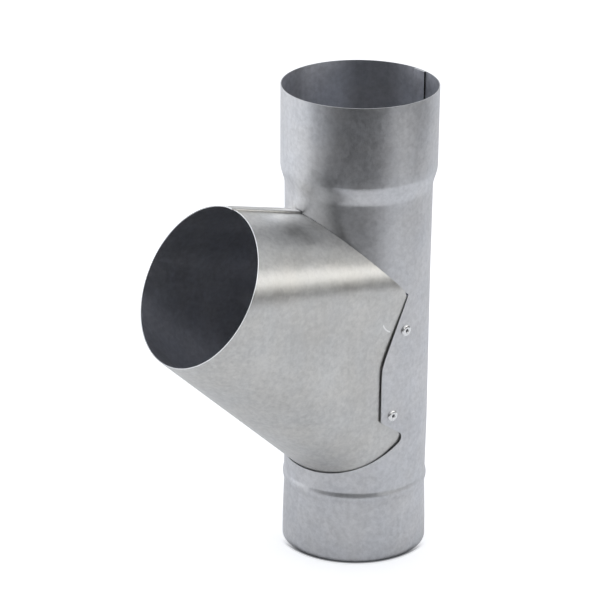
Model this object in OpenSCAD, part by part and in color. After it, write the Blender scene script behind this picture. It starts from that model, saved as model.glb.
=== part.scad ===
// Downpipe branch in galvanised sheet steel, for a nominal 100 mm downpipe.
// A rolled main pipe with a socket above and a spigot below carries a developed
// branch whose flat sides run into the pipe and are riveted behind its wall.
// The pipe's axis is Z, the foot is at z = 0 and the branch leaves towards -X.

/* [Sheet] */
// Thickness of the galvanised sheet
sheet = 0.6; // [0.5:0.05:1]
// Clearance between sheets that lie over one another
lap_gap = 0.15; // [0.1:0.05:0.3]

/* [Main pipe] */
// Outside diameter of the pipe where the branch is let in
body_od = 97.4; // [90:0.1:110]
// How much wider the pipe is just below the shoulder
body_widen = 1; // [0:0.1:3]
// How much narrower the pipe is just above the bead
body_narrow = 1; // [0:0.1:2]
// Plain length of pipe between the branch's top edge and the shoulder
above_branch = 10.5; // [6:0.5:40]
// Plain length of pipe between the bead and the opening's lowest edge
below_branch = 11.6; // [6:0.1:40]

/* [Socket] */
// Outside diameter of the socket
socket_od = 104.7; // [102:0.1:125]
// Depth of the straight part of the socket
socket_depth = 54; // [40:1:90]
// Height of the shoulder between the pipe and the socket
shoulder_h = 14.5; // [10:0.5:25]

/* [Spigot] */
// Outside diameter of the spigot's end
spigot_od = 97.9; // [88:0.1:110]
// Length of the straight end of the spigot
spigot_end = 12; // [8:0.5:25]
// Outside diameter of the spigot's neck, under the bead
neck_od = 96.3; // [86:0.1:108]
// Height of the bead's lower edge above the foot
spigot_h = 42; // [30:0.5:80]
// Height of the bead
bead_h = 9; // [6:0.5:14]
// How far the bead stands out from the pipe above it
bead_out = 0.9; // [0.5:0.1:2]

/* [Pipe seam] */
// Width of the lock seam inside the pipe
seam_w = 10; // [8:0.5:14]
// How far the lock seam stands out inside the pipe
seam_out = 1.3; // [1:0.1:2]
// Turn of the seam away from the point opposite the branch
seam_turn = 2.8; // [-10:0.1:10]

/* [Branch] */
// Outside diameter of the branch's mouth
mouth_od = 110.4; // [100:0.2:125]
// Angle between the branch and the pipe
branch_angle = 60.2; // [55:0.1:70]
// Distance from the pipe's axis to the mouth, along the branch
branch_reach = 147.4; // [130:0.5:180]
// Height of the axes' crossing above the opening's lowest edge
branch_drop = 73.6; // [60:0.1:90]
// Height of the upper edge's plane above the axes' crossing, on the pipe's axis
edge_rise = 60; // [50:0.5:75]
// Slope of the upper edge's plane
edge_slope = 44.6; // [35:0.1:50]
// How far the opening's lower edge climbs from the front of the pipe to its side
lip_climb = 21.5; // [10:0.1:30]
// Height of the gap between that edge and the branch
lip_gap = 1.25; // [1.1:0.05:1.6]
// How far the branch goes in past that edge
lip_in = 4.5; // [3:0.5:8]
// Width of the seam on top of the branch
top_seam_w = 7; // [5:0.5:10]
// How far the seam on top of the branch stands out
top_seam_out = 1.5; // [0.8:0.1:2]
// How far that seam's end stands out of the mouth
top_seam_tongue = 4; // [1:0.5:6]

/* [Joint] */
// How far round the pipe the opening's upper corner lies past the flat sides
corner_past = 4.2; // [2:0.1:8]
// Lean of the opening's side edge
side_lean = 24.6; // [15:0.1:35]
// Width of the flat stretch of pipe wall over the branch's tab
ear_w = 17.5; // [12:0.5:20]
// Width of the branch's tab behind the pipe wall
tab_w = 19; // [16:0.5:24]
// How far the pipe wall's edge stands clear of the branch
ear_open = 0.9; // [0.4:0.1:2]
// How far the branch laps over the opening's upper edge at the front
front_lap = 9; // [5:0.5:14]
// Height of the opening's side notch above its lower edge
notch_h = 6.4; // [5:0.1:10]
// How far the flat stretch's lower edge climbs from the notch towards the front
notch_climb = 11.2; // [8:0.1:16]

/* [Rivets] */
// Diameter of the rivet's shank
rivet_d = 4; // [3:0.1:5]
// Diameter of the rivet's head
rivet_head_d = 8; // [7:0.1:9]
// Height of the rivet's head
rivet_head_h = 1.3; // [1:0.1:2]
// Distance of the rivets from the pipe wall's edge
rivet_in = 9.8; // [8:0.1:11]
// Height of the upper rivet below the opening's corner
rivet_below = 25; // [15:0.5:40]
// Height of the lower rivet above the slit's inner end
rivet_above = 2.8; // [1:0.1:8]
// Clearance round the shanks and under the heads
rivet_gap = 0.05; // [0.02:0.01:0.1]

/* [Hidden] */
zinc = [0.66, 0.68, 0.70];
zinc_light = [0.74, 0.76, 0.78];
steel_dark = [0.35, 0.36, 0.38];
$fn = 180;

// Radii of the pipe and of the sheets that lie over and under its wall
body_r = body_od/2;
wall_in_r = body_r - sheet;
over_r = body_r + lap_gap + sheet;
under_r = wall_in_r - lap_gap;

// Heights along the pipe
bead_top = spigot_h + bead_h;
lip_z = bead_top + below_branch;
cross_z = lip_z + branch_drop;
saddle_z = cross_z + edge_rise;
edge_top_z = saddle_z + over_r*tan(edge_slope);
shoulder_z = edge_top_z + above_branch;
socket_z = shoulder_z + shoulder_h;
pipe_h = socket_z + socket_depth;

// The mouth's circle: its centre, its upward direction and its normal
mouth_r = mouth_od/2;
mouth_tilt = 90 - branch_angle;
mouth_c = [-branch_reach*cos(mouth_tilt), 0, cross_z + branch_reach*sin(mouth_tilt)];
mouth_up = [sin(mouth_tilt), 0, cos(mouth_tilt)];
mouth_n = [-cos(mouth_tilt), 0, sin(mouth_tilt)];
out_y = [0, -1, 0];

// The flat sides touch both the pipe and the mouth's circle. This is the cosine
// of the angle from the front of the pipe to where they touch it.
function side_cos(c, k) = k == 0 ? c
    : side_cos((over_r - mouth_r*sqrt(1 - pow(c*cos(mouth_tilt), 2)))/-mouth_c[0], k - 1);
side_a = acos(side_cos(0, 8));
side_n = [-cos(side_a), -sin(side_a), 0];
side_d = [sin(side_a), -cos(side_a), 0];
side_x = body_r*side_n[0];
degree = 180/PI;

// Edge of the pipe wall at the opening's side: upright, then leaning back to the
// corner. Distances run round the pipe from where the flat side touches it.
corner_x = side_x + corner_past;
corner_z = saddle_z - corner_x*tan(edge_slope);
knee_z = corner_z - (corner_past + ear_w)/tan(side_lean);
knee_soft = 0.8;
function soft_rise(u) = (u + sqrt(u*u + 4*knee_soft*knee_soft))/2;
function cut_s(z) = soft_rise((z - knee_z)*tan(side_lean)) - ear_w;

// The opening's lower edge, and the notch where it meets the lower edge of the
// flat stretch
function lip_h(a) = lip_z + lip_climb*pow(1 - cos(a), 1.47);
low_corner_z = lip_h(side_a);
notch_s = -1.3;
notch_round = 2;
notch_z = low_corner_z + notch_h;
tip_z = notch_z + notch_climb;
ear_foot_z = notch_z - 3;
straight_z = ear_foot_z - 3;
ear_top_z = corner_z - corner_past/tan(side_lean) + 3;

// Smooth step from 0 to 1
function soft_step(u) = let (v = min(1, max(0, u))) v*v*(3 - 2*v);

// Profile of the pipe's outer face, from the foot to the rim
round_steps = 8;
function bead_pt(u) = [mix(neck_od/2, body_r - body_narrow/2, soft_step(u))
    + bead_out*pow(sin(180*u), 1.5), spigot_h + bead_h*u];
function shoulder_pt(u) = [mix(body_r + body_widen/2, socket_od/2, soft_step(u)),
    shoulder_z + shoulder_h*u];
function mix(a, b, u) = a + (b - a)*u;
function outer_profile() = concat(
    [[spigot_od/2, 0], [spigot_od/2, spigot_end]],
    [for (k = [0:round_steps]) bead_pt(k/round_steps)],
    [[body_r, straight_z], [body_r, corner_z + 3]],
    [for (k = [0:round_steps]) shoulder_pt(k/round_steps)],
    [[socket_od/2, pipe_h]]);
function inset(points, d) = [for (p = points) [p[0] - d, p[1]]];
function reversed(list) = [for (k = [len(list) - 1:-1:0]) list[k]];
function band(points, outer, inner) = concat(inset(points, outer), reversed(inset(points, inner)));

// Outline of the opening seen along Y, from the corner down the side edge, along
// the foot of the flat stretch into the notch, and back along the lower edge
edge_steps = 12;
notch_steps = 6;
lip_steps = 14;
front_x = -body_r - 20;
notch_a = side_a - notch_round/body_r*degree;
function curve(a, b, c, d, u) = let (m = mix(b, c, u))
    mix(mix(mix(a, b, u), m, u), mix(m, mix(c, d, u), u), u);
function lip_outline_pt(a) = [-body_r*cos(a), lip_h(a)];
function notch_pt(u) = curve([side_x + notch_s, notch_z], [side_x + 1.3, notch_z - 1.8],
    [side_x + 1.1, lip_h(side_a) + 1], lip_outline_pt(notch_a), u);
function opening_outline() = concat(
    [for (k = [0:edge_steps]) let (z = mix(corner_z, tip_z + 0.9, k/edge_steps))
        [side_x + cut_s(z), z]],
    [[side_x + cut_s(tip_z) + 0.8, tip_z - 0.7]],
    [for (k = [0:notch_steps]) notch_pt(k/notch_steps)],
    [for (k = [lip_steps - 1:-1:0]) lip_outline_pt(notch_a*k/lip_steps)],
    [[front_x, lip_z],
     [front_x, edge_top_z - front_lap],
     [-body_r, edge_top_z - front_lap]]);

module opening() {
    rotate([90, 0, 0])
        linear_extrude(2*body_od, center = true)
            polygon(opening_outline());
}

// Sector of round wall that the flat stretches take the place of
module round_sector() {
    reach = 2*body_od;
    translate([0, 0, ear_foot_z])
        linear_extrude(ear_top_z - ear_foot_z)
            polygon([[0, 0], reach*[side_n[0], side_n[1]], [-reach, -reach],
                [-reach, reach], reach*[side_n[0], -side_n[1]]]);
}

// Flat stretch of wall that stands over the branch's tab
module ear() {
    rotate([0, 0, side_a + 180])
        translate([wall_in_r, -ear_w - 3, ear_foot_z])
            cube([sheet, ear_w + 3, ear_top_z - ear_foot_z]);
}

// Place on the right-hand side of the pipe at distance s round it, turned so
// that X points out of the wall
module on_side(s, z) {
    turn = s > 0 ? s/body_r*degree : 0;
    rotate([0, 0, side_a + 180 + turn])
        translate([body_r, min(s, 0), z])
            children();
}

function rivet_z(upper) = upper ? corner_z - rivet_below : tip_z + rivet_above;
function rivet_s(upper) = cut_s(rivet_z(upper)) + rivet_in;

module at_rivet(right, upper) {
    mirror([0, right ? 0 : 1, 0])
        on_side(rivet_s(upper), rivet_z(upper))
            rotate([0, 90, 0])
                children();
}

module rivet_holes() {
    for (right = [true, false], upper = [true, false])
        at_rivet(right, upper)
            cylinder(r = rivet_d/2 + rivet_gap, h = 12, center = true, $fn = 48);
}

module pipe_seam() {
    seam_angle = seam_w/wall_in_r*degree;
    rotate([0, 0, seam_turn - seam_angle/2])
        rotate_extrude(angle = seam_angle)
            polygon(band(outer_profile(), sheet/2, sheet + seam_out));
}

module main_pipe() {
    color(zinc)
        difference() {
            union() {
                difference() {
                    union() {
                        rotate_extrude() polygon(band(outer_profile(), 0, sheet));
                        pipe_seam();
                    }
                    round_sector();
                    opening();
                }
                for (side = [0, 1])
                    difference() {
                        mirror([0, side, 0]) ear();
                        opening();
                    }
            }
            rivet_holes();
        }
}

// Branch sheet. It is drawn as lines that run from the mouth to the pipe, each a
// list of points with their outward normals. The upper ones end on the pipe's face
// and the others go on through the opening. Each line that meets the pipe on one of
// the two curves below is a fold line of the developed sheet: it lies in one plane
// with the tangents of the mouth and of the curve.
function mouth_pt(f) = mouth_c + mouth_r*(cos(f)*mouth_up + sin(f)*out_y);
function mouth_tangent(f) = cos(f)*out_y - sin(f)*mouth_up;
function upper_pt(a) = [-over_r*cos(a), -over_r*sin(a), saddle_z + over_r*cos(a)*tan(edge_slope)];
low_r = under_r - ear_open;
function narrowed_r(z) = mix(body_r, body_r - body_narrow/2, (straight_z - z)/(straight_z - bead_top));
function lower_pt(a) = let (
    side = soft_step(1 - (side_a - a)/50),
    r = mix(narrowed_r(lip_h(a)), low_r, side))
    [-r*cos(a), -r*sin(a), lip_h(a) + mix(lip_gap, 0.2, side)];

// Angle at the mouth of the line that ends at p, where the curve runs along d
function mouth_angle(p, d, way) = let (
    q = p + d*((mouth_c - p)*mouth_n)/(d*mouth_n) - mouth_c,
    a = q*mouth_up,
    b = q*out_y)
    (atan2(b, a) + way*acos(mouth_r/norm([a, b])) + 360) % 360;

fan_spread = 1.6;
side_f = mouth_angle(upper_pt(side_a), upper_pt(side_a + 0.1) - upper_pt(side_a - 0.1), 1);
function upper_f(a) = a == 0 ? 0
    : min(side_f - fan_spread/2,
        mouth_angle(upper_pt(a), upper_pt(a + 0.1) - upper_pt(a - 0.1), 1));
function lower_f(a) = a == 0 ? 180
    : max(side_f + fan_spread/2,
        mouth_angle(lower_pt(a), lower_pt(a + 0.1) - lower_pt(a - 0.1), -1));

function unit(v) = v/norm(v);
function fold_normal(f, p) = unit(cross(mouth_tangent(f), p - mouth_pt(f)));
function upper_line(a) = let (f = upper_f(a), m = mouth_pt(f), p = upper_pt(a), n = fold_normal(f, p))
    [for (t = [0, 0.45, 0.8, 0.95, 1]) [m + (p - m)*t, n]];

// Steps of a line past the opening's edge, round the pipe for the tab and inwards
// for the lower edge
tab_steps = [0, 2, 5, 8, 12, 15.5, tab_w];
last_step = len(tab_steps) - 1;
function lower_line(a) = let (f = lower_f(a), m = mouth_pt(f), p = lower_pt(a), n = fold_normal(f, p))
    concat([for (t = [0, 0.45, 0.8]) [m + (p - m)*t, n]],
        [for (k = [0:last_step]) [p + unit(p - m)*lip_in*k/last_step, n]]);

// Point on the side at distance s round the pipe, at radius r and height z
function side_point(s, r, z) = s <= 0
    ? [r*side_n + s*side_d + [0, 0, z], side_n]
    : let (a = side_a + s/r*degree, n = [-cos(a), -sin(a), 0]) [r*n + [0, 0, z], n];

// Lines of the flat side that go behind the pipe wall as a tab
tab_top_z = corner_z - 1.5;
function tab_open(z) = ear_open*soft_step((corner_z - z)/40);
function tab_line(f, z) = let (
    m = mouth_pt(f),
    s = cut_s(z),
    open = tab_open(z),
    near = side_point(s - 2.5, under_r - open, z),
    far_r = mix(over_r, under_r - open, soft_step((corner_z - z)/30)),
    far = side_point(s - 22, far_r, z + 22*(m[2] - z)/norm(m - near[0])))
    concat([[m, side_n], far, near, side_point(s - 0.3, under_r - open, z)],
        [for (k = [1:last_step])
            side_point(s + tab_steps[k], under_r - open*soft_step(1 - tab_steps[k]/8), z)]);

// Lines between the tab and the lower edge
tab_foot = tab_line(side_f, tip_z);
lip_start = lower_line(side_a);
function middle_line(f, u) = concat([[mouth_pt(f), side_n]],
    [for (k = [1:3 + last_step])
        [mix(tab_foot[k][0], lip_start[k][0], u), unit(mix(tab_foot[k][1], lip_start[k][1], u))]]);

upper_lines = 24;
tab_lines = 20;
middle_lines = 6;
lower_lines = 26;
fan_lines = tab_lines + 1 + middle_lines;
function fan_f(k) = side_f + fan_spread*((k + 1)/(fan_lines + 1) - 0.5);
right_lines = concat(
    [for (k = [0:upper_lines]) upper_line(side_a*k/upper_lines)],
    [for (k = [0:tab_lines]) tab_line(fan_f(k), mix(tab_top_z, tip_z, k/tab_lines))],
    [for (k = [1:middle_lines]) middle_line(fan_f(tab_lines + k), k/(middle_lines + 1))],
    [for (k = [lower_lines:-1:0]) lower_line(side_a*k/lower_lines)]);

// How many points of line k and the next are joined: fewer where the tab begins
long_line = 4 + last_step;
short_line = 5;
function joined(k) = k < upper_lines ? short_line : k == upper_lines ? 4 : long_line;

half = len(right_lines) - 1;
around = 2*half;
function flip(v) = [v[0], -v[1], v[2]];
function line_at(i) = i <= half ? right_lines[i]
    : [for (p = right_lines[around - i]) [flip(p[0]), flip(p[1])]];
function joined_at(i) = i < half ? joined(i) : joined(around - i - 1);

// Points of both faces of the sheet, as many for each line as the longest has
function sheet_points() = [for (i = [0:around - 1]) let (l = line_at(i), last = len(l) - 1)
    for (k = [0:long_line - 1]) let (p = l[min(k, last)])
        each [p[0], p[0] - sheet*p[1]]];
function at(i, k, face) = ((i % around)*long_line + k)*2 + face;
function quad(a, b, c, d) = [[a, b, c], [a, c, d]];
function sheet_faces() = [for (i = [0:around - 1]) let (
        m = joined_at(i),
        here = len(line_at(i)),
        next = len(line_at((i + 1) % around)))
    each concat(
        [for (k = [0:m - 2])
            each quad(at(i, k, 0), at(i, k + 1, 0), at(i + 1, k + 1, 0), at(i + 1, k, 0))],
        [for (k = [0:m - 2])
            each quad(at(i, k, 1), at(i + 1, k, 1), at(i + 1, k + 1, 1), at(i, k + 1, 1))],
        quad(at(i, 0, 0), at(i + 1, 0, 0), at(i + 1, 0, 1), at(i, 0, 1)),
        quad(at(i, m - 1, 0), at(i, m - 1, 1), at(i + 1, m - 1, 1), at(i + 1, m - 1, 0)),
        m < here ? [for (k = [m - 1:here - 2])
            each quad(at(i, k, 0), at(i, k, 1), at(i, k + 1, 1), at(i, k + 1, 0))] : [],
        m < next ? [for (k = [m - 1:next - 2])
            each quad(at(i + 1, k, 0), at(i + 1, k + 1, 0), at(i + 1, k + 1, 1), at(i + 1, k, 1))] : [])];

// Folded seam along the top of the branch, with its end standing out of the mouth
module top_seam() {
    top = mouth_pt(0);
    foot = upper_pt(0);
    run = norm(foot - top);
    fall = atan2(top[2] - foot[2], foot[0] - top[0]);
    translate(top)
        rotate([0, fall, 0])
            translate([-top_seam_tongue, -top_seam_w/2, -sheet/2])
                cube([run + top_seam_tongue - 0.5, top_seam_w, sheet/2 + top_seam_out]);
}

module branch_pipe() {
    color(zinc_light)
        difference() {
            union() {
                polyhedron(points = sheet_points(), faces = sheet_faces(), convexity = 8);
                top_seam();
            }
            rivet_holes();
        }
}

// Blind rivet: a domed head outside, the shank through both sheets and the tail
// that is drawn up behind them. Its own Z points out of the wall.
grip = sheet + lap_gap + sheet;
tail_h = 0.9*rivet_d;
tail_r = 0.78*rivet_d;
tail_gap = rivet_gap + 0.05 + tail_r*tail_r/(2*under_r);
stem_r = 0.27*rivet_d;
module rivet() {
    head_r = rivet_head_d/2;
    dome = [for (k = [0:8]) let (a = 90*k/8)
        [stem_r + 0.5 + (head_r - stem_r - 0.5)*cos(a), rivet_gap + 0.25 + (rivet_head_h - 0.25)*sin(a)]];
    tail = -grip - tail_gap;
    color(zinc_light)
        rotate_extrude($fn = 48)
            polygon(concat(
                [[stem_r + rivet_gap/2, rivet_head_h - 0.25],
                 [stem_r + rivet_gap/2, tail - tail_h],
                 [tail_r - 0.9, tail - tail_h],
                 [tail_r, tail - tail_h + 0.9],
                 [tail_r, tail - 0.5],
                 [tail_r - 0.5, tail],
                 [rivet_d/2, tail],
                 [rivet_d/2, rivet_gap],
                 [head_r, rivet_gap]],
                dome));
}

// Broken mandrel: its stem inside the rivet and its head behind the tail
module mandrel() {
    tail_end = -grip - tail_gap - tail_h;
    color(steel_dark)
        rotate_extrude($fn = 48)
            polygon([[0, rivet_head_h - 0.7], [stem_r, rivet_head_h - 0.9],
                [stem_r, tail_end - 0.05], [1.75*stem_r, tail_end - 0.05],
                [1.75*stem_r, tail_end - 1], [stem_r, tail_end - 1.6], [0, tail_end - 1.6]]);
}

main_pipe();
branch_pipe();
at_rivet(true, true) rivet();  // rivet_right_upper
at_rivet(true, false) rivet();  // rivet_right_lower
at_rivet(false, true) rivet();  // rivet_left_upper
at_rivet(false, false) rivet();  // rivet_left_lower
at_rivet(true, true) mandrel();  // mandrel_right_upper
at_rivet(true, false) mandrel();  // mandrel_right_lower
at_rivet(false, true) mandrel();  // mandrel_left_upper
at_rivet(false, false) mandrel();  // mandrel_left_lower
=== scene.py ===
import math

import bpy
from mathutils import Matrix, Vector


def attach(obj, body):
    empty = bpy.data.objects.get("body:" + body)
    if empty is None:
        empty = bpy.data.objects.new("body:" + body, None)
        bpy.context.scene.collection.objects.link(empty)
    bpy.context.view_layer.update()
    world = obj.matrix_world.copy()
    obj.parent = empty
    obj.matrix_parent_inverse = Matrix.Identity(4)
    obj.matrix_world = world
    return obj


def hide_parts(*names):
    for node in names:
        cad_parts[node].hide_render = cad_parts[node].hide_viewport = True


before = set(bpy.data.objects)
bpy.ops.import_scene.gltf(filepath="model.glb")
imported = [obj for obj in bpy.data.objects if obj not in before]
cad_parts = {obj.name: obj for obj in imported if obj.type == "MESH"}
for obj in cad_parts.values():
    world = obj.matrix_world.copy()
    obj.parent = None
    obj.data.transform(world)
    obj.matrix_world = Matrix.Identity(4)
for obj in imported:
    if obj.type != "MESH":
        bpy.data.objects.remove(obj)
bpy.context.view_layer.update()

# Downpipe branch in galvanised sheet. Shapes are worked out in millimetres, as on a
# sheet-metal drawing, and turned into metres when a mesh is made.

METRE = 0.001

# Sheet and clearances
SHEET = 0.6
LAP = 0.15

# Main pipe
BODY_R = 48.7
OVER_R = BODY_R + LAP + SHEET
UNDER_R = BODY_R - SHEET - LAP
SPIGOT_R = 48.95
NECK_R = 48.15
SPIGOT_END = 12.0
BEAD_FOOT = 42.0
BEAD_TOP = 51.0
BEAD_OUT = 0.9
SHOULDER_FOOT = 255.46
SHOULDER_TOP = 269.96
SOCKET_R = 52.35
PIPE_H = 323.96
ABOVE_BEAD_R = BODY_R - 0.5
WIDENS_AT = 194
UNDER_SHOULDER_R = BODY_R + 0.5
SOCKET_FOOT_R = SOCKET_R - 0.2

# Branch
LIP_Z = 62.6
LIP_CLIMB = 21.5
LIP_CURVE = 1.47
LIP_GAP = 1.25
SIDE_GAP = 0.2
LIP_IN = 4.5
CROSS_Z = 136.2
SADDLE_Z = 196.2
SADDLE_SLOPE = math.tan(math.radians(44.6))
MOUTH_R = 55.2
MOUTH_REACH = 147.4
MOUTH_TILT = math.radians(90 - 60.2)
FAN_SPREAD = math.radians(1.6)

# Joint between the two sheets
CORNER_PAST = 4.2
SIDE_LEAN = math.tan(math.radians(24.6))
KNEE_ROUND = 2.56
EAR_W = 17.5
EAR_OPEN = 0.9
TAB_W = 19.0
FRONT_LAP = 9.0
NOTCH_H = 6.4
NOTCH_CLIMB = 11.2
NOTCH_S = -1.3
NOTCH_ROUND = 2.0
NOTCH_UPPER_PULL = (1.3, -1.8)
NOTCH_LOWER_PULL = (1.1, 1)

# Rivets
RIVET_R = 2.0
HEAD_R = 4.0
HEAD_H = 1.3
HOLE_R = 1.1
TAIL_R = 0.78*2*RIVET_R
RIVET_IN = 9.8


# Small helpers for numbers and vectors

def mix(a, b, t):
    return a + (b - a)*t


def soft_step(t):
    t = min(1.0, max(0.0, t))
    return t*t*(3 - 2*t)


def steps(first, last, count):
    return [mix(first, last, k/count) for k in range(count + 1)]


# The frame in which both sheets are drawn

MOUTH_C = Vector((-MOUTH_REACH*math.cos(MOUTH_TILT), 0, CROSS_Z + MOUTH_REACH*math.sin(MOUTH_TILT)))
MOUTH_UP = Vector((math.sin(MOUTH_TILT), 0, math.cos(MOUTH_TILT)))
MOUTH_N = Vector((-math.cos(MOUTH_TILT), 0, math.sin(MOUTH_TILT)))
NEAR = Vector((0, -1, 0))
UP = Vector((0, 0, 1))


def side_angle():
    """Angle from the front of the pipe to where the flat side touches it."""
    c = 0.0
    for _ in range(8):
        c = (OVER_R - MOUTH_R*math.sqrt(1 - (c*math.cos(MOUTH_TILT))**2))/-MOUTH_C.x
    return math.acos(c)


SIDE_A = side_angle()
SIDE_N = Vector((-math.cos(SIDE_A), -math.sin(SIDE_A), 0))
SIDE_D = Vector((math.sin(SIDE_A), -math.cos(SIDE_A), 0))
SIDE_X = BODY_R*SIDE_N.x
CORNER_X = SIDE_X + CORNER_PAST
CORNER_Z = SADDLE_Z - CORNER_X*SADDLE_SLOPE
KNEE_Z = CORNER_Z - (CORNER_PAST + EAR_W)/SIDE_LEAN


def lip_h(a):
    """Height of the opening's lower edge at an angle from the pipe's front."""
    return LIP_Z + LIP_CLIMB*(1 - math.cos(a))**LIP_CURVE


NOTCH_Z = lip_h(SIDE_A) + NOTCH_H
TIP_Z = NOTCH_Z + NOTCH_CLIMB
UPPER_RIVET_Z = CORNER_Z - 25
LOWER_RIVET_Z = TIP_Z + 2.8
STRAIGHT_Z = NOTCH_Z - 6
EDGE_TOP_Z = SADDLE_Z + OVER_R*SADDLE_SLOPE


def cut_s(z):
    """How far round the pipe the opening's side edge lies: slanted above its knee, upright below."""
    u = (z - KNEE_Z)*SIDE_LEAN
    return (u + math.sqrt(u*u + KNEE_ROUND))/2 - EAR_W


def around(s, r, z):
    """Point and outward direction on the round wall, s along it from the flat side's line of touch."""
    a = SIDE_A + s/BODY_R
    n = Vector((-math.cos(a), -math.sin(a), 0))
    return r*n + z*UP, n


def beside(s, r, z):
    """The same on the stretch that goes over from the flat side to the round wall."""
    if s <= 0:
        return r*SIDE_N + s*SIDE_D + z*UP, SIDE_N.copy()
    a = SIDE_A + s/r
    n = Vector((-math.cos(a), -math.sin(a), 0))
    return r*n + z*UP, n


# Bent sheet

class Sheet:
    """The outer face of a bent sheet, welded from patches, which is then given its thickness."""

    def __init__(self):
        self.points, self.outward, self.found, self.faces = [], [], {}, []

    def corner(self, point, outward):
        key = tuple(round(c, 3) for c in point)
        if key not in self.found:
            self.found[key] = len(self.points)
            self.points.append(point)
            self.outward.append(outward)
        return self.found[key]

    def patch(self, rows):
        """Joins neighbouring rows of (point, outward) with quads, on both halves of the part."""
        for side in (1, -1):
            flip = Matrix.Diagonal((1, side, 1))
            ids = [[self.corner(flip @ p, flip @ n) for p, n in row] for row in rows]
            for low, high in zip(ids, ids[1:]):
                for k in range(min(len(low), len(high)) - 1):
                    self.face((low[k], low[k + 1], high[k + 1], high[k]))

    def face(self, ids):
        ids = [i for k, i in enumerate(ids) if i != ids[k - 1]]
        if len(set(ids)) < 3:
            return
        corners = [self.points[i] for i in ids]
        turn = sum((a.cross(b) for a, b in zip(corners, corners[1:] + corners[:1])), Vector())
        if turn.dot(sum((self.outward[i] for i in ids), Vector())) < 0:
            ids.reverse()
        self.faces.append(ids)

    def solid(self, thickness=SHEET):
        """Points, faces and a finish number a face: 0 outside, 1 inside, 2 cut edge."""
        count = len(self.points)
        points = self.points + [p - thickness*n for p, n in zip(self.points, self.outward)]
        faces = [list(f) for f in self.faces]
        finish = [0]*len(faces)
        used = {}
        for f in self.faces:
            for a, b in zip(f, f[1:] + f[:1]):
                used[frozenset((a, b))] = used.get(frozenset((a, b)), 0) + 1
        for f in self.faces:
            faces.append([i + count for i in reversed(f)])
            finish.append(1)
            for a, b in zip(f, f[1:] + f[:1]):
                if used[frozenset((a, b))] == 1:
                    faces.append([b, a, a + count, b + count])
                    finish.append(2)
        return points, faces, finish


def join_parts(*parts):
    points, faces, finish = [], [], []
    for p, f, m in parts:
        start = len(points)
        points += p
        faces += [[i + start for i in ids] for ids in f]
        finish += m
    return points, faces, finish


def make_piece(name, part, finishes, nodes):
    """Makes a mesh object in metres, smooth apart from the edges between two finishes."""
    points, faces, finish = part
    mesh = bpy.data.meshes.new(name)
    mesh.from_pydata([p*METRE for p in points], [], faces)
    mesh.validate()
    for material in finishes:
        mesh.materials.append(material)
    for polygon, number in zip(mesh.polygons, finish):
        polygon.material_index = number
        polygon.use_smooth = True
    seen = {}
    for polygon in mesh.polygons:
        for key in polygon.edge_keys:
            seen.setdefault(key, set()).add((polygon.material_index, polygon.index))
    for edge in mesh.edges:
        touching = sorted(seen[edge.key])
        kinds = {kind for kind, _ in touching}
        normals = [mesh.polygons[i].normal for _, i in touching]
        bent = len(normals) > 1 and normals[0].dot(normals[1]) < 0.7
        edge.use_edge_sharp = len(kinds) > 1 or bent
    piece = bpy.data.objects.new(name, mesh)
    bpy.context.scene.collection.objects.link(piece)
    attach(piece, "root")
    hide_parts(*nodes)
    return piece


# Main pipe, its wall and its lock seam

def pipe_r(z):
    """Outside radius of the pipe at a height."""
    if z <= SPIGOT_END:
        return SPIGOT_R
    if z <= BEAD_FOOT:
        return mix(SPIGOT_R, NECK_R, (z - SPIGOT_END)/(BEAD_FOOT - SPIGOT_END))
    if z <= BEAD_TOP:
        t = (z - BEAD_FOOT)/(BEAD_TOP - BEAD_FOOT)
        return mix(NECK_R, ABOVE_BEAD_R, soft_step(t)) + BEAD_OUT*math.sin(math.pi*t)**1.5
    if z <= STRAIGHT_Z:
        return mix(ABOVE_BEAD_R, BODY_R, (z - BEAD_TOP)/(STRAIGHT_Z - BEAD_TOP))
    if z <= WIDENS_AT:
        return BODY_R
    if z <= SHOULDER_FOOT:
        return mix(BODY_R, UNDER_SHOULDER_R, (z - WIDENS_AT)/(SHOULDER_FOOT - WIDENS_AT))
    if z <= SHOULDER_TOP:
        t = (z - SHOULDER_FOOT)/(SHOULDER_TOP - SHOULDER_FOOT)
        return mix(UNDER_SHOULDER_R, SOCKET_FOOT_R, soft_step(t))
    return mix(SOCKET_FOOT_R, SOCKET_R, (z - SHOULDER_TOP)/(PIPE_H - SHOULDER_TOP))


S_FRONT = -SIDE_A*BODY_R
S_BACK = (math.pi - SIDE_A)*BODY_R
NOTCH_STEPS = 10
FOLD_HALF = 0.45
FOLD_DEPTH = 0.3


def notch_edge():
    """Edge of the side notch as (s, z), from the foot of the flat stretch round to the lower edge."""
    low_a = SIDE_A - NOTCH_ROUND/BODY_R
    a = Vector((NOTCH_S, NOTCH_Z))
    b = Vector((NOTCH_UPPER_PULL[0], NOTCH_Z + NOTCH_UPPER_PULL[1]))
    c = Vector((NOTCH_LOWER_PULL[0], lip_h(SIDE_A) + NOTCH_LOWER_PULL[1]))
    d = Vector((-NOTCH_ROUND, lip_h(low_a)))
    return [(1 - u)**3*a + 3*u*(1 - u)**2*b + 3*u*u*(1 - u)*c + u**3*d for u in steps(0, 1, NOTCH_STEPS)]


NOTCH = notch_edge()
NOSE = max(range(len(NOTCH)), key=lambda k: NOTCH[k].x)
NOSE_S, NOSE_Z = NOTCH[NOSE]
EAR_FOOT = [Vector((cut_s(TIP_Z + 0.9), TIP_Z + 0.9)), Vector((cut_s(TIP_Z) + 0.8, TIP_Z - 0.7))]
EAR_FOOT += [EAR_FOOT[1].lerp(NOTCH[0], t) for t in steps(0, 1, 12)[1:]] + NOTCH[1:NOSE + 1]

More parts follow.
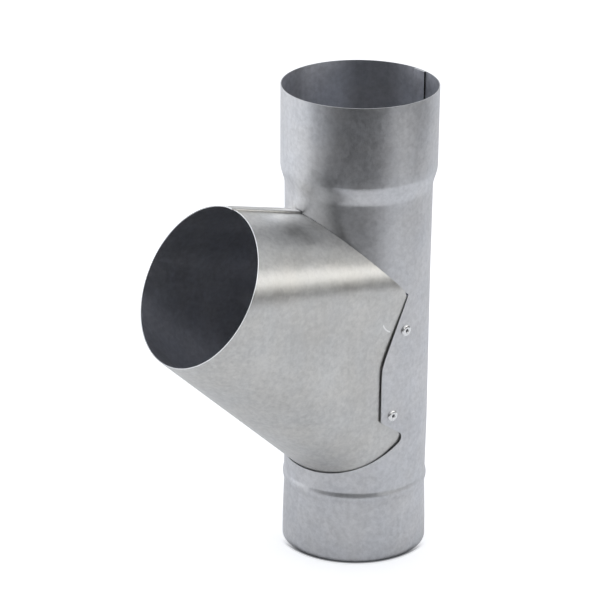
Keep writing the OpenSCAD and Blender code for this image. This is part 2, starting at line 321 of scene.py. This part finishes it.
FRONT_S = steps(S_FRONT, -NOTCH_ROUND, 48)
LIP_S = FRONT_S + [p.x for p in NOTCH[NOSE:-1]][::-1]
PAST_S = steps(NOSE_S, CORNER_PAST, 4)[1:]
BACK_S = steps(CORNER_PAST, S_BACK - FOLD_HALF - 0.15, 40)[1:]
BACK_S += [S_BACK - FOLD_HALF, S_BACK]
RING_S = LIP_S + PAST_S + BACK_S

# Heights of the wall's rows of points, close together where it curves
FOOT_ROWS = (steps(0, SPIGOT_END, 4) + steps(SPIGOT_END, BEAD_FOOT, 8)[1:]
             + steps(BEAD_FOOT, BEAD_TOP, 18)[1:] + [54.0, 57.0])
TOP_ROWS = ([246.5, 249.5, 252.5] + steps(SHOULDER_FOOT, SHOULDER_TOP, 18)
            + steps(SHOULDER_TOP, PIPE_H, 12)[1:])
LOW_ROW, TOP_ROW = FOOT_ROWS[-1], TOP_ROWS[0]

# Shares of the way up from the notch to the corner, close together where the edge begins
EAR_SHARES = [0, 0.004, 0.012, 0.025] + steps(0.05, 1, 38)


def lip_edge():
    """Heights of the opening's lower edge over the stations up to the nose of the notch."""
    front = [lip_h(SIDE_A + s/BODY_R) for s in FRONT_S]
    return front + [p.y for p in NOTCH[NOSE:-1]][::-1]


def opening_top(s):
    """Height of the opening's upper edge."""
    x = around(s, BODY_R, 0)[0].x
    return mix(CORNER_Z, EDGE_TOP_Z - FRONT_LAP, min(1, max(0, (CORNER_X - x)/(CORNER_X + BODY_R))))


def wall(s, z):
    """Point of the pipe's outside, with the seam's fold line down its back."""
    return around(s, pipe_r(z) - FOLD_DEPTH*max(0, 1 - (S_BACK - s)/FOLD_HALF), z)


def ear_rows():
    """Wall between the opening's side edge and its corner, flat where it lies over the tab."""
    rows = []
    for t in EAR_SHARES:
        row = []
        for k, foot in enumerate(EAR_FOOT):
            u = k/(len(EAR_FOOT) - 1)
            left_z = mix(EAR_FOOT[0].y, CORNER_Z, t)
            left_s = min(CORNER_PAST, cut_s(left_z))
            right = Vector((mix(NOSE_S, CORNER_PAST, t), mix(NOSE_Z, CORNER_Z, t)))
            start = EAR_FOOT[0].lerp(EAR_FOOT[-1], u)
            place = Vector((left_s, left_z)).lerp(right, u) + (1 - t)*(foot - start)
            row.append(beside(place.x, BODY_R, place.y))
        rows.append(row)
    return rows


def pipe_wall():
    sheet = Sheet()
    sheet.patch([[wall(s, z) for s in RING_S] for z in FOOT_ROWS])
    sheet.patch([[wall(s, z) for s in RING_S] for z in TOP_ROWS])
    edge = lip_edge()
    sheet.patch([[wall(s, mix(LOW_ROW, z, t)) for s, z in zip(LIP_S, edge)] for t in steps(0, 1, 10)])
    past = [NOSE_S] + PAST_S
    back = [CORNER_PAST] + BACK_S
    sheet.patch([[wall(s, mix(LOW_ROW, NOSE_Z, t)) for s in past + BACK_S] for t in steps(0, 1, 10)])
    sheet.patch(ear_rows())
    sheet.patch([[wall(mix(s, CORNER_PAST, t), mix(NOSE_Z, CORNER_Z, t)) for s in past]
                 for t in EAR_SHARES])
    sheet.patch([[wall(s, mix(NOSE_Z, CORNER_Z, t)) for s in back]
                 for t in EAR_SHARES])
    over = LIP_S + PAST_S
    sheet.patch([[wall(s, mix(opening_top(s), TOP_ROW, t)) for s in over] for t in steps(0, 1, 14)])
    sheet.patch([[wall(s, mix(CORNER_Z, TOP_ROW, t)) for s in back] for t in steps(0, 1, 14)])
    return sheet.solid()


def strip(sections, finish, caps=0):
    """Closed bar through cross-sections of as many points each. finish numbers its long faces."""
    count = len(sections[0])
    points = [p for section in sections for p in section]
    faces, numbers = [], []
    for i in range(len(sections) - 1):
        for k in range(count):
            a, b = i*count + k, i*count + (k + 1) % count
            faces.append([a, b, b + count, a + count])
            numbers.append(finish[k])
    faces += [list(range(count))[::-1], [len(points) - count + k for k in range(count)]]
    numbers += [caps, caps]
    return points, faces, numbers


SEAM_W = 10.0
SEAM_OUT = 1.3
SEAM_TURN = math.radians(2.8)
SEAM_TOP_GAP = 0.15


def pipe_seam():
    """Lock seam inside the pipe, drawn as (across, outward), with painted shadow on the side face of its
    fold.
    """
    across = [(0, 0.3), (0, -1.0), (0.25, -1.25), (0.8, -SEAM_OUT), (5, -SEAM_OUT - 0.02),
              (9.2, -SEAM_OUT), (9.75, -1.22), (10, -0.9), (10, 0.3)]
    # Finish 3 is a near-black painted shadow on the fold's side face.
    finish = [3, 1, 1, 1, 1, 1, 1, 1, 1]
    rows = FOOT_ROWS + steps(LOW_ROW, TOP_ROW, 24)[1:-1] + TOP_ROWS
    sections = []
    for z in rows:
        top = min(z, PIPE_H - SEAM_TOP_GAP)
        section = []
        for w, out in across:
            r = pipe_r(z) - SHEET + out
            a = SEAM_TURN + (w - SEAM_W/2)/(BODY_R - SHEET)
            section.append(Vector((r*math.cos(a), r*math.sin(a), top)))
        sections.append(section)
    return strip(sections, finish, caps=2)


# Branch, its sheet and its top seam

def mouth_pt(f):
    return MOUTH_C + MOUTH_R*(math.cos(f)*MOUTH_UP + math.sin(f)*NEAR)


def mouth_tangent(f):
    return math.cos(f)*NEAR - math.sin(f)*MOUTH_UP


LOW_R = UNDER_R - EAR_OPEN
LOWER_FADE = math.radians(50)


def upper_pt(a):
    """Where a fold line of the upper half ends, on the pipe's outside."""
    return Vector((-OVER_R*math.cos(a), -OVER_R*math.sin(a), SADDLE_Z + OVER_R*math.cos(a)*SADDLE_SLOPE))


def lower_pt(a):
    """Where a fold line of the lower half passes the opening's edge."""
    side = soft_step(1 - (SIDE_A - a)/LOWER_FADE)
    r = mix(pipe_r(lip_h(a)), LOW_R, side)
    return Vector((-r*math.cos(a), -r*math.sin(a), lip_h(a) + mix(LIP_GAP, SIDE_GAP, side)))


def mouth_angle(p, along, way):
    """Angle at the mouth of the fold line that ends at p, where the edge runs along a direction."""
    q = p + along*((MOUTH_C - p).dot(MOUTH_N)/along.dot(MOUTH_N)) - MOUTH_C
    a, b = q.dot(MOUTH_UP), q.dot(NEAR)
    return (math.atan2(b, a) + way*math.acos(MOUTH_R/math.hypot(a, b))) % (2*math.pi)


STEP_A = math.radians(0.1)
SIDE_F = mouth_angle(upper_pt(SIDE_A), upper_pt(SIDE_A + STEP_A) - upper_pt(SIDE_A - STEP_A), 1)


def upper_f(a):
    """Angle at the mouth of the upper half's fold line, kept clear of the flat side's fan."""
    if a == 0:
        return 0.0
    edge = upper_pt(a + STEP_A) - upper_pt(a - STEP_A)
    return min(SIDE_F - FAN_SPREAD/2, mouth_angle(upper_pt(a), edge, 1))


def lower_f(a):
    """The same for the lower half."""
    if a == 0:
        return math.pi
    edge = lower_pt(a + STEP_A) - lower_pt(a - STEP_A)
    return max(SIDE_F + FAN_SPREAD/2, mouth_angle(lower_pt(a), edge, -1))


# Where the lines have points: shares of a fold line of the upper half, distances before the
# cut edge where the flat side goes in behind the wall, and distances past it along the tab
UPPER_PARTS = [0, 0.05, 0.15, 0.3, 0.45, 0.6, 0.7, 0.8, 0.86, 0.92, 0.96, 0.985, 1]
DIP_W = 22.0
DIP_STEPS = [16, 11, 7.5, 5, 3, 1.5, 0.3]
TAB_STEPS = [1, 2, 3.5, 5, 8, 11, 14, 16.5, TAB_W]

# The lower half follows the flat side's slight bend near the cut edge, and loses it over BEND_FADE
SIDE_BEND = 0.33
BEND_AT = 0.8405
BEND_FADE = math.radians(22)


def fold_line(f, p, parts, onward=0.0, inward=0.0):
    """Fold line from the mouth through p and on past it, which may be bent a little inward."""
    m = mouth_pt(f)
    along = p - m
    n = mouth_tangent(f).cross(along).normalized()
    along += along.normalized()*onward
    line = []
    for t in parts:
        bent = inward*min(t/BEND_AT, (1 - t)/(1 - BEND_AT))
        line.append((m + along*t - SIDE_N*bent, n))
    return line


TAB_TOP_Z = CORNER_Z - 1.5
OPEN_RUN = 40
LAP_RUN = 30
TAB_CLOSES = 8


def tab_open(z):
    """How far the flat side stands in from the wall at the cut edge, at a height."""
    return EAR_OPEN*soft_step((CORNER_Z - z)/OPEN_RUN)


def tab_line(f, z):
    """Line of the flat side that goes in behind the pipe wall and on as a tab."""
    m = mouth_pt(f)
    s = cut_s(z)
    depth = UNDER_R - tab_open(z)
    end = beside(s - DIP_STEPS[-1], depth, z)[0]
    straight = mix(end, m, (DIP_W - DIP_STEPS[-1])/(m - end).xy.length)
    outside = beside(s - DIP_W, OVER_R, straight.z)[0]
    far = mix(outside, straight, soft_step((CORNER_Z - z)/LAP_RUN))
    line = [(mix(m, far, t), SIDE_N) for t in (0, 0.2, 0.4, 0.6, 0.8, 1)]
    for d in DIP_STEPS:
        t = (DIP_W - d)/(DIP_W - DIP_STEPS[-1])
        line.append((mix(far, end, t), SIDE_N))
    for w in TAB_STEPS:
        line.append(beside(s + w, UNDER_R - tab_open(z)*soft_step(1 - w/TAB_CLOSES), z))
    return line


LONG = len(UPPER_PARTS)
UPPER_LINES = 64
TAB_LINES = 44
MIDDLE_LINES = 12
LOWER_LINES = 64


def branch_sheet():
    sheet = Sheet()
    fans = [SIDE_F + FAN_SPREAD*t for t in steps(-0.5, 0.5, TAB_LINES + MIDDLE_LINES + 2)[1:-1]]
    top = [fold_line(upper_f(a), upper_pt(a), UPPER_PARTS) for a in steps(0, SIDE_A, UPPER_LINES)]
    tab = [tab_line(f, z) for f, z in zip(fans, steps(TAB_TOP_Z, TIP_Z, TAB_LINES))]
    flat = [(p - tab[-1][0][0]).length for p, n in tab[-1][:LONG]]
    lower_parts = [BEND_AT*d/flat[-1] for d in flat] + steps(BEND_AT, 1, len(TAB_STEPS))[1:]
    foot = []
    for a in steps(SIDE_A, 0, LOWER_LINES):
        inward = SIDE_BEND*soft_step(1 - (SIDE_A - a)/BEND_FADE)
        foot.append(fold_line(lower_f(a), lower_pt(a), lower_parts, LIP_IN, inward))
    middle = []
    for k, f in enumerate(fans[TAB_LINES + 1:]):
        u = (k + 1)/(MIDDLE_LINES + 1)
        line = [(mix(p, q, u), mix(n, o, u).normalized()) for (p, n), (q, o) in zip(tab[-1], foot[0])]
        middle.append([(mouth_pt(f), SIDE_N)] + line[1:])
    sheet.patch(top)
    sheet.patch([top[-1], tab[0][:LONG]])
    sheet.patch(tab + middle + foot)
    return sheet.solid()


TOP_SEAM_W = 7.0
TOP_SEAM_OUT = 1.3
TONGUE = 4.0


def top_seam():
    """Folded seam along the branch's top, drawn as (across, up). Its top layer ends in a tongue."""
    top, foot = mouth_pt(0), upper_pt(0)
    along = (foot - top).normalized()
    up = NEAR.cross(along).normalized()
    if up.z < 0:
        up = -up
    run = (foot - top).length - 0.4
    half = TOP_SEAM_W/2
    bar = [(-half, -0.3), (half, -0.3), (half, 0.85), (half - 0.35, TOP_SEAM_OUT - 0.08),
           (half - 0.9, TOP_SEAM_OUT), (0.6 - half, TOP_SEAM_OUT), (0.2 - half, TOP_SEAM_OUT - 0.12),
           (-half, 0.8)]
    tongue = [(-half, 0.45), (half, 0.45), (half, 0.85)] + bar[3:]
    places = [(-TONGUE, tongue), (-0.3, tongue), (0.0, bar)] + [(t, bar) for t in steps(0, run, 12)[1:]]
    sections = [[top + along*t + NEAR*y + up*h for y, h in shape] for t, shape in places]
    return strip(sections, [1, 0, 0, 0, 0, 0, 0, 0], caps=2)


# Blind rivets

def side_frame(s, z, near):
    """Frame on the pipe's side: Z points out of the wall and X along the pipe."""
    point, n = beside(s, BODY_R, z)
    if not near:
        point.y, n.y = -point.y, -n.y
    x = UP.copy()
    y = n.cross(x)
    turn = Matrix((x, y, n)).transposed().to_4x4()
    return Matrix.Translation(point) @ turn


def turned(profile, finish, place, segments=64):
    """Closed ring of a profile of (radius, height) turned about the frame's Z."""
    count = len(profile)
    points, faces, numbers = [], [], []
    for k in range(segments):
        a = 2*math.pi*k/segments
        points += [place @ Vector((r*math.cos(a), r*math.sin(a), h)) for r, h in profile]
    for k in range(segments):
        here, there = k*count, (k + 1) % segments*count
        for i in range(count):
            j = (i + 1) % count
            faces.append([here + i, there + i, there + j, here + j])
            numbers.append(finish[i])
    return points, faces, numbers


def rivet(s, z, near):
    """Domed head, shank through both sheets and the tail drawn up behind them, hollow for its mandrel."""
    grip = 2*SHEET + LAP
    gap = 0.1 + TAIL_R**2/(2*UNDER_R)
    dome = [(HOLE_R + 0.55 + (HEAD_R - HOLE_R - 0.55)*math.cos(a), 0.3 + (HEAD_H - 0.3)*math.sin(a))
            for a in steps(0, math.pi/2, 10)]
    tail = -grip - gap
    bore = [(HOLE_R + 0.25, HEAD_H - 0.1), (HOLE_R, HEAD_H - 0.45), (HOLE_R, tail - 3.6)]
    back = [(TAIL_R - 0.9, tail - 3.6), (TAIL_R - 0.3, tail - 3.2), (TAIL_R, tail - 2.6),
            (TAIL_R, tail - 0.6), (TAIL_R - 0.4, tail)]
    profile = [(HEAD_R, 0.05)] + dome + bore + back + [(RIVET_R, tail), (RIVET_R, 0.05)]
    return turned(profile, [0]*len(profile), side_frame(s, z, near))


# Finishes

class Wire:
    """A socket or a number in a finish, so that shader maths is written as expressions."""

    def __init__(self, finish, value):
        self.finish, self.value = finish, value

    def math(self, operation, other, swapped=False):
        pair = (other, self) if swapped else (self, other)
        return self.finish.node("ShaderNodeMath", {"operation": operation}, *pair)

    def __add__(self, other):
        return self.math("ADD", other)

    def __mul__(self, other):
        return self.math("MULTIPLY", other)

    def __sub__(self, other):
        return self.math("SUBTRACT", other)

    def __truediv__(self, other):
        return self.math("DIVIDE", other)

    def __pow__(self, other):
        return self.math("POWER", other)

    def __rsub__(self, other):
        return self.math("SUBTRACT", other, swapped=True)

    def __rtruediv__(self, other):
        return self.math("DIVIDE", other, swapped=True)

    __radd__, __rmul__ = __add__, __mul__

    def most(self, other):
        return self.math("MAXIMUM", other)

    def ramp(self, low, high, start=0.0, end=1.0):
        """Goes softly from start to end as the value goes from low to high."""
        ends = {"From Min": low, "From Max": high, "To Min": start, "To Max": end}
        soft = {"interpolation_type": "SMOOTHSTEP"}
        return self.finish.node("ShaderNodeMapRange", soft, Value=self, **ends)


class Finish:
    """A node tree that is written as expressions."""

    def __init__(self, tree):
        self.tree = tree
        tree.nodes.clear()

    def node(self, kind, settings=None, *inputs, output=0, **named):
        """Adds a node: its settings first, then the values or links of its sockets."""
        made = self.tree.nodes.new(kind)
        for name, value in (settings or {}).items():
            setattr(made, name, value)
        for key, value in [*enumerate(inputs), *named.items()]:
            self.feed(made.inputs[key], value)
        return Wire(self, made.outputs[output]) if made.outputs else None

    def feed(self, socket, value):
        if isinstance(value, Wire):
            value = value.value
        if isinstance(value, bpy.types.NodeSocket):
            self.tree.links.new(value, socket)
        else:
            socket.default_value = value

    def blend(self, factor, a, b):
        """Mixes two colours."""
        made = self.tree.nodes.new("ShaderNodeMix")
        made.data_type = "RGBA"
        for socket, value in ((made.inputs[0], factor), (made.inputs[6], a), (made.inputs[7], b)):
            self.feed(socket, value)
        return Wire(self, made.outputs[2])

    def tinted(self, colour, tint):
        """Multiplies one colour by another."""
        return self.node("ShaderNodeVectorMath", {"operation": "MULTIPLY"}, colour, tint)

    def noise(self, place, scale, detail=2.0, roughness=0.5):
        return self.node("ShaderNodeTexNoise", None, Vector=place, Scale=scale, Detail=detail,
                         Roughness=roughness)


def new_finish(name):
    material = bpy.data.materials.new(name)
    material.use_nodes = True
    return material, Finish(material.node_tree)


def place_in_metres(finish):
    return finish.node("ShaderNodeTexCoord", output="Object")


def stretched(finish, place, scale):
    return finish.node("ShaderNodeVectorMath", {"operation": "MULTIPLY"}, place, scale)


def metal(finish, colour, roughness, normal=None, metallic=1.0):
    shader = finish.node("ShaderNodeBsdfPrincipled", None,
                         **{"Base Color": colour, "Roughness": roughness, "Metallic": metallic})
    if normal is not None:
        finish.feed(shader.value.node.inputs["Normal"], normal)
    finish.node("ShaderNodeOutputMaterial", None, Surface=shader)


ZINC_DARK = (0.551, 0.543, 0.545, 1)
ZINC_LIGHT = (0.76, 0.748, 0.75, 1)
ZINC_COOL = (0.992, 0.999, 1.008, 1)
ZINC_WARM = (1.006, 1.0, 0.99, 1)
BARE_ZINC = (0.98, 0.98, 0.98, 1)

# Scales of the patterns, in repeats a metre
SPANGLE_SCALE = 240.0
MOTTLE_SCALE = 330.0
CLOUD_SCALE = 26.0
HUE_SCALE = 40.0
ROLLED_SCALE = (260.0, 260.0, 9.0)
BANDS_SCALE = (60.0, 60.0, 4.0)
SWAY_SCALE = 17.0


# Painted reflections inside the pipe: upright light and dark streaks multiplied into the zinc's colour.
REFLECTION_STREAK_DARK = (0.73, 0.73, 0.735, 1)
REFLECTION_STREAK_LIGHT = (1.26, 1.27, 1.29, 1)
REFLECTION_STREAK_LEVEL = 0.44
REFLECTION_STREAKS = ((81, 28, 0.5), (41, 32, -0.5), (2, 34, 0.5))


def painted_reflection_streaks(finish, place):
    """Painted reflections: soft upright light and dark streaks in the colour inside the pipe. Each has an
    azimuth and half width in degrees and a strength.
    """
    axes = finish.node("ShaderNodeSeparateXYZ", None, place)
    x, y = (Wire(finish, axes.value.node.outputs[k]) for k in range(2))
    r = (x*x + y*y)**0.5
    level = REFLECTION_STREAK_LEVEL
    for azimuth, half, strength in REFLECTION_STREAKS:
        a = math.radians(azimuth)
        turn = (x*math.cos(a) + y*math.sin(a))/r
        level = level + turn.ramp(math.cos(math.radians(half)), 1.0)*strength
    return finish.blend(level, REFLECTION_STREAK_DARK, REFLECTION_STREAK_LIGHT)


def zinc_sheet(name, shade=(1, 1, 1), roughness=0.36, scratched=False, painted_reflections=False):
    """Hot-dip zinc: fine mottling, faint cloudiness, rolling marks and a slightly wavy surface."""
    material, finish = new_finish(name)
    place = place_in_metres(finish)
    spangle = finish.node("ShaderNodeTexVoronoi", {"feature": "F1"}, Vector=place, Scale=SPANGLE_SCALE,
                          Randomness=1.0, output="Color")
    grain = finish.node("ShaderNodeSeparateColor", None, spangle)
    mottle = finish.noise(place, MOTTLE_SCALE, 3.0, 0.6)
    cloud = finish.noise(place, CLOUD_SCALE, 2.0, 0.5)
    hue = finish.noise(place, HUE_SCALE, 2.0, 0.5)
    rolled = finish.noise(stretched(finish, place, ROLLED_SCALE), 1.0, 2.0, 0.5)
    tone = 0.5 + (grain - 0.5)*0.12 + (mottle - 0.5)*0.7 + (cloud - 0.5)*0.5 + (rolled - 0.5)*0.15
    dark = tuple(c*s for c, s in zip(ZINC_DARK, shade)) + (1,)
    light = tuple(c*s for c, s in zip(ZINC_LIGHT, shade)) + (1,)
    colour = finish.blend(tone.ramp(0.15, 0.85), dark, light)
    colour = finish.tinted(colour, finish.blend(hue.ramp(0.3, 0.7), ZINC_COOL, ZINC_WARM))
    # Painted reflections: upright light and dark streaks in the colour.
    if painted_reflections:
        colour = finish.tinted(colour, painted_reflection_streaks(finish, place))
    gloss = roughness + (mottle - 0.5)*0.10 + (cloud - 0.5)*0.08 + (grain - 0.5)*0.03
    if scratched:
        mark = scratch_mark(finish, place)
        colour = finish.blend(mark, colour, BARE_ZINC)
        gloss = gloss + mark*0.1
    height = mottle*0.10 + grain*0.03
    fine = finish.node("ShaderNodeBump", None, Strength=0.25, Distance=0.0001, Height=height)
    bands = finish.noise(stretched(finish, place, BANDS_SCALE), 1.0, 1.0, 0.4)
    sway = finish.noise(place, SWAY_SCALE, 1.0, 0.4) + bands*0.18
    normal = finish.node("ShaderNodeBump", None, Strength=0.5, Distance=0.0012, Height=sway, Normal=fine)
    metal(finish, colour, gloss, normal)
    return material


SCRATCH_X = -3.88
SCRATCH_Z = 176.91
SCRATCH_R = 11.17
SCRATCH_MIDDLE = math.radians(-135)
SCRATCH_HALF = math.radians(25)
SCRATCH_W = 0.6


def scratch_mark(finish, place):
    """A short curved scratch on the near flat side of the branch, beside the upper rivet."""
    axes = finish.node("ShaderNodeSeparateXYZ", None, place)
    x, y, z = (Wire(finish, axes.value.node.outputs[k]) for k in range(3))
    dx, dz = x - SCRATCH_X*METRE, z - SCRATCH_Z*METRE
    reach = (dx*dx + dz*dz)**0.5
    off = (reach - SCRATCH_R*METRE)/(SCRATCH_W*METRE)
    turn = (dx*math.cos(SCRATCH_MIDDLE) + dz*math.sin(SCRATCH_MIDDLE))/reach
    ends = turn.ramp(math.cos(SCRATCH_HALF*1.1), math.cos(SCRATCH_HALF*0.8))
    return (off*off).ramp(0.2, 1.2, 1.0, 0.0)*ends*y.ramp(-0.046, -0.047)


def plain_metal(name, colour, roughness):
    """Plain metal with a faint grain."""
    material, finish = new_finish(name)
    place = place_in_metres(finish)
    grain = finish.noise(place, 900.0, 2.0, 0.5)
    dark = tuple(c*0.9 for c in colour) + (1,)
    light = tuple(min(1, c*1.08) for c in colour) + (1,)
    shade = finish.blend(grain, dark, light)
    bump = finish.node("ShaderNodeBump", None, Strength=0.2, Distance=0.00005, Height=grain)
    metal(finish, shade, roughness + (grain - 0.5)*0.1, bump)
    return material


# Studio

TABLE_FACING = math.radians(-127)
TABLE_FRONT = 0.52
TABLE_RIGHT = 0.85
TABLE_LEFT = 0.75
TABLE_BACK = 3.0
PAPER = (0.95, 0.955, 0.97, 1)
# Painted shadow: a dark ring CONTACT_W millimetres wide in the table's colour, on the foot's near side.
CONTACT_SHADOW = (0.05, 0.052, 0.06, 1)
CONTACT_W = 4.0
TABLE_GLOW = 0.45


def make_floor():
    """White table with a tight dark shadow painted into its colour where the foot's near edge stands on it.
    """
    out = Vector((math.cos(TABLE_FACING), math.sin(TABLE_FACING), 0))
    right = Vector((-out.y, out.x, 0))
    corners = [out*f + right*r for f, r in ((TABLE_FRONT, -TABLE_LEFT), (TABLE_FRONT, TABLE_RIGHT),
                                            (-TABLE_BACK, TABLE_RIGHT), (-TABLE_BACK, -TABLE_LEFT))]
    mesh = bpy.data.meshes.new("table_top")
    mesh.from_pydata(corners, [], [(0, 1, 2, 3)])
    floor = bpy.data.objects.new("table_top", mesh)
    bpy.context.scene.collection.objects.link(floor)
    material, finish = new_finish("white_table")
    camera = Wire(finish, finish.node("ShaderNodeLightPath").value.node.outputs["Is Camera Ray"])
    axes = finish.node("ShaderNodeSeparateXYZ", None, place_in_metres(finish))
    x, y = (Wire(finish, axes.value.node.outputs[k]) for k in range(2))
    reach = (x*x + y*y)**0.5
    front = (x*out.x + y*out.y)/reach
    away = ((reach - SPIGOT_R*METRE)/(CONTACT_W*METRE)).ramp(0.0, 1.0)
    open_paper = away.most(front.ramp(0.25, 0.75, 1.0, 0.0))
    paper_and_painted_shadow = finish.blend(open_paper, CONTACT_SHADOW, PAPER)
    shader = finish.node("ShaderNodeBsdfPrincipled", None,
                         **{"Base Color": paper_and_painted_shadow, "Roughness": 1.0, "Specular IOR Level": 0.0,
                            "Emission Color": paper_and_painted_shadow, "Emission Strength": camera*TABLE_GLOW})
    finish.node("ShaderNodeOutputMaterial", None, Surface=shader)
    mesh.materials.append(material)
    return floor


ROOM_COOL = (0.96, 0.975, 1.0, 1)
WHITE = (1, 1, 1, 1)
BACK_AZ = math.radians(110)
RIGHT_AZ = math.radians(40)
DIM_LOW = 0.12
DIM_HIGH = 0.45
UNDER_TABLE = 0.25
RIGHT_LEVEL = 0.72
TOP_LEVEL = 0.88


def make_room():
    """World: white behind the part, light on its right and above, dim in front on its left."""
    world = bpy.data.worlds.new("studio")
    bpy.context.scene.world = world
    world.use_nodes = True
    room = Finish(world.node_tree)
    toward = room.node("ShaderNodeTexCoord", output="Generated")
    axes = room.node("ShaderNodeSeparateXYZ", None, toward)
    x, y, z = (Wire(room, axes.value.node.outputs[k]) for k in range(3))
    level = (x*x + y*y + 0.0001)**0.5

    def facing(azimuth):
        return (x*math.cos(azimuth) + y*math.sin(azimuth))/level

    studio = z.ramp(0.2, 0.6, DIM_LOW, DIM_HIGH)*z.ramp(-0.05, 0.02, UNDER_TABLE, 1.0)
    studio = mix(studio, RIGHT_LEVEL, facing(RIGHT_AZ).ramp(0.45, 0.9))
    studio = mix(studio, 1.0, facing(BACK_AZ).ramp(0.35, 0.85))
    studio = mix(studio, TOP_LEVEL, z.ramp(0.62, 0.8))
    rays = room.node("ShaderNodeLightPath")
    camera = Wire(room, rays.value.node.outputs["Is Camera Ray"])
    light = room.node("ShaderNodeBackground", None, Color=room.blend(camera, ROOM_COOL, WHITE),
                      Strength=mix(studio, 1.0, camera))
    room.node("ShaderNodeOutputWorld", None, Surface=light)


KEY_WARM = (1.0, 0.985, 0.95)
BOX_AIM = Vector((0, 0, 0.2))


def make_softbox(name, azimuth, elevation, distance, width, height, radiance, colour):
    """Area lamp at a bearing from the part, in degrees and metres. Its radiance is as seen."""
    lamp = bpy.data.lights.new(name, "AREA")
    lamp.shape = "RECTANGLE"
    lamp.size, lamp.size_y = width, height
    lamp.energy = radiance*math.pi*width*height
    lamp.color = colour
    box = bpy.data.objects.new(name, lamp)
    bpy.context.scene.collection.objects.link(box)
    a, e = math.radians(azimuth), math.radians(elevation)
    back = Vector((math.cos(a)*math.cos(e), math.sin(a)*math.cos(e), math.sin(e)))
    box.location = BOX_AIM + back*distance
    box.rotation_mode = "QUATERNION"
    box.rotation_quaternion = back.to_track_quat("Z", "Y")
    box.visible_camera = False
    return box


CAMERA_AZ = math.radians(-36.809)
CAMERA_EL = math.radians(21.954)
CAMERA_ROLL = math.radians(0.91)
CAMERA_AWAY = 2.1341
CAMERA_AIM = Vector((0, 0, 0.16203))
CAMERA_F = 3169.964
AIM_PIXEL = (356.70, 313.25)
FRAME_SIZE = 600


def make_camera():
    """The photograph's viewpoint, as worked out from the part's outlines."""
    level = math.cos(CAMERA_EL)
    back = Vector((math.sin(CAMERA_AZ)*level, -math.cos(CAMERA_AZ)*level, math.sin(CAMERA_EL)))
    right = Vector((math.cos(CAMERA_AZ), math.sin(CAMERA_AZ), 0))
    up = back.cross(right)
    across = math.cos(CAMERA_ROLL)*right + math.sin(CAMERA_ROLL)*up
    high = math.cos(CAMERA_ROLL)*up - math.sin(CAMERA_ROLL)*right
    pan = math.atan((AIM_PIXEL[0] - FRAME_SIZE/2)/CAMERA_F)
    tip = math.atan((AIM_PIXEL[1] - FRAME_SIZE/2)/CAMERA_F)
    axes = Matrix((across, high, back))
    panned = Matrix(((math.cos(pan), 0, -math.sin(pan)), (0, 1, 0), (math.sin(pan), 0, math.cos(pan))))
    tipped = Matrix(((1, 0, 0), (0, math.cos(tip), math.sin(tip)), (0, -math.sin(tip), math.cos(tip))))
    lens = bpy.data.cameras.new("camera")
    lens.sensor_width = 36.0
    lens.lens = CAMERA_F*lens.sensor_width/FRAME_SIZE
    lens.clip_start, lens.clip_end = 0.1, 20.0
    camera = bpy.data.objects.new("camera", lens)
    bpy.context.scene.collection.objects.link(camera)
    turn = (tipped @ panned @ axes).transposed().to_4x4()
    camera.matrix_world = Matrix.Translation(CAMERA_AIM + back*CAMERA_AWAY) @ turn
    bpy.context.scene.camera = camera


# The part

pipe_outside = zinc_sheet("zinc_pipe_outside", shade=(0.995, 1.018, 1.045))
branch_outside = zinc_sheet("zinc_branch_outside", shade=(1.01, 1.02, 0.995), scratched=True)
INSIDE_SHADE = (0.96, 0.985, 1.03)
pipe_inside = zinc_sheet("zinc_pipe_inside", shade=INSIDE_SHADE, roughness=0.51, painted_reflections=True)
branch_inside = zinc_sheet("zinc_branch_inside", shade=INSIDE_SHADE, roughness=0.435)
cut_edge = plain_metal("zinc_cut_edge", (0.62, 0.63, 0.64), 0.35)
# Painted shadow: near-black finish for the crevice beside the inner seam's fold.
fold_shadow = plain_metal("zinc_fold_shadow", (0.04, 0.042, 0.05), 0.6)
rivet_metal = plain_metal("rivet_aluminium", (0.92, 0.925, 0.93), 0.25)
mandrel_metal = plain_metal("mandrel_steel", (0.12, 0.12, 0.13), 0.4)

make_piece("pipe_sheet", join_parts(pipe_wall(), pipe_seam()),
           [pipe_outside, pipe_inside, cut_edge, fold_shadow], ["main_pipe"])
make_piece("branch_sheet", join_parts(branch_sheet(), top_seam()),
           [branch_outside, branch_inside, cut_edge], ["branch_pipe"])

for side, near in (("right", True), ("left", False)):
    for level, z in (("upper", UPPER_RIVET_Z), ("lower", LOWER_RIVET_Z)):
        make_piece(f"blind_rivet_{side}_{level}", rivet(cut_s(z) + RIVET_IN, z, near),
                   [rivet_metal], [f"rivet_{side}_{level}"])
        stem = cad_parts[f"mandrel_{side}_{level}"]
        stem.data.materials.clear()
        stem.data.materials.append(mandrel_metal)

make_floor()
make_room()
make_softbox("key_box", azimuth=-50, elevation=15, distance=1.3, width=0.7, height=0.43,
             radiance=1.84, colour=KEY_WARM)
make_softbox("low_box", azimuth=-76, elevation=5, distance=1.3, width=0.5, height=0.24,
             radiance=1.6, colour=KEY_WARM)
make_softbox("high_box", azimuth=-58, elevation=38, distance=1.3, width=1.1, height=0.42,
             radiance=0.25, colour=KEY_WARM)
make_softbox("back_box", azimuth=115, elevation=6, distance=1.5, width=1.6, height=0.36,
             radiance=1.8, colour=ROOM_COOL[:3])
make_camera()
bpy.context.scene.view_settings.view_transform = "Standard"
